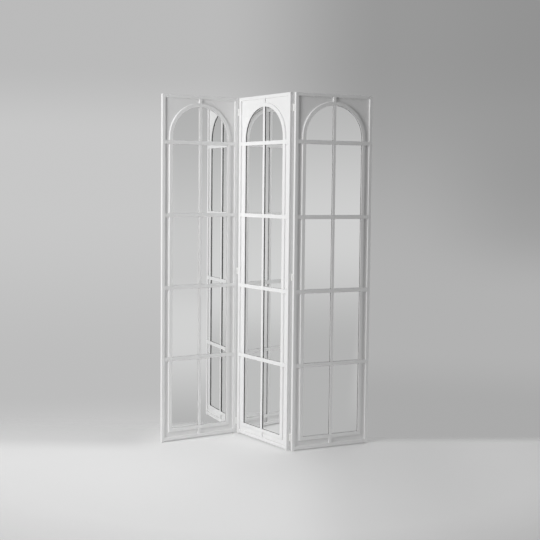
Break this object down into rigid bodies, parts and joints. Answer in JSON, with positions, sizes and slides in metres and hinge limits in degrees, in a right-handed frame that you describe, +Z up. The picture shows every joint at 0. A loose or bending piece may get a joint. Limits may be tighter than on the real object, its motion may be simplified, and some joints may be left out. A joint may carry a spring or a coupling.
{
  "type": "folding room divider",
  "caption": "Folding screen of hinged white panels in a zigzag, each with an arched, barred mirror pane in a raised frame, standing on small glides.",
  "frame": {"origin": "centre of the pictured zigzag's bounding box, on the floor", "axes": "+X to the right and +Y away from the mirrored front as pictured, +Z up"},
  "size_m": [1.0823, 0.3653, 1.808],
  "materials": {
    "painted_wood": "satin white paint",
    "painted_board": "satin white paint on fibreboard",
    "backing": "matt white painted fibreboard",
    "mirror": "silvered glass",
    "painted_steel": "painted white over steel",
    "screw_zinc": "zinc plated",
    "glide": "moulded white plastic"
  },
  "bodies": {
    "left_panel": {"left_stile_outer": "painted_wood", "left_stile_hinge": "painted_wood", "left_top_rail": "painted_wood", "left_bottom_rail": "painted_wood", "left_board": "painted_board", "left_bead": "painted_wood", "left_upright_bar": "painted_wood", "left_cross_bars": "painted_wood", "left_mirror": "mirror", "left_backing": "backing", "left_backing_screws": "screw_zinc", "left_glides": "glide", "front_hinge_low_side_leaf": "painted_steel", "front_hinge_low_pin": "painted_steel", "front_hinge_mid_side_leaf": "painted_steel", "front_hinge_mid_pin": "painted_steel", "front_hinge_high_side_leaf": "painted_steel", "front_hinge_high_pin": "painted_steel", "left_hinge_screws": "painted_steel"},
    "middle_panel": {"middle_stile_left": "painted_wood", "middle_stile_right": "painted_wood", "middle_top_rail": "painted_wood", "middle_bottom_rail": "painted_wood", "middle_board": "painted_board", "middle_bead": "painted_wood", "middle_upright_bar": "painted_wood", "middle_cross_bars": "painted_wood", "middle_mirror": "mirror", "middle_backing": "backing", "middle_backing_screws": "screw_zinc", "middle_glides": "glide", "front_hinge_low_middle_leaf": "painted_steel", "front_hinge_mid_middle_leaf": "painted_steel", "front_hinge_high_middle_leaf": "painted_steel", "back_hinge_low_middle_leaf": "painted_steel", "back_hinge_mid_middle_leaf": "painted_steel", "back_hinge_high_middle_leaf": "painted_steel", "middle_left_hinge_screws": "painted_steel", "middle_right_hinge_screws": "painted_steel"},
    "right_panel": {"right_stile_hinge": "painted_wood", "right_stile_outer": "painted_wood", "right_top_rail": "painted_wood", "right_bottom_rail": "painted_wood", "right_board": "painted_board", "right_bead": "painted_wood", "right_upright_bar": "painted_wood", "right_cross_bars": "painted_wood", "right_mirror": "mirror", "right_backing": "backing", "right_backing_screws": "screw_zinc", "right_glides": "glide", "back_hinge_low_side_leaf": "painted_steel", "back_hinge_low_pin": "painted_steel", "back_hinge_mid_side_leaf": "painted_steel", "back_hinge_mid_pin": "painted_steel", "back_hinge_high_side_leaf": "painted_steel", "back_hinge_high_pin": "painted_steel", "right_hinge_screws": "painted_steel"}
  },
  "joints": [
    {"name": "front_fold", "type": "hinge", "parent": "middle_panel", "child": "left_panel", "pos_m": [-0.15754, 0.16932, 0.886], "axis": [0, 0, 1], "range_deg": [-84, 96]},
    {"name": "back_fold", "type": "hinge", "parent": "middle_panel", "child": "right_panel", "pos_m": [0.13637, -0.16805, 0.886], "axis": [0, 0, 1], "range_deg": [-78, 102]}
  ]
}
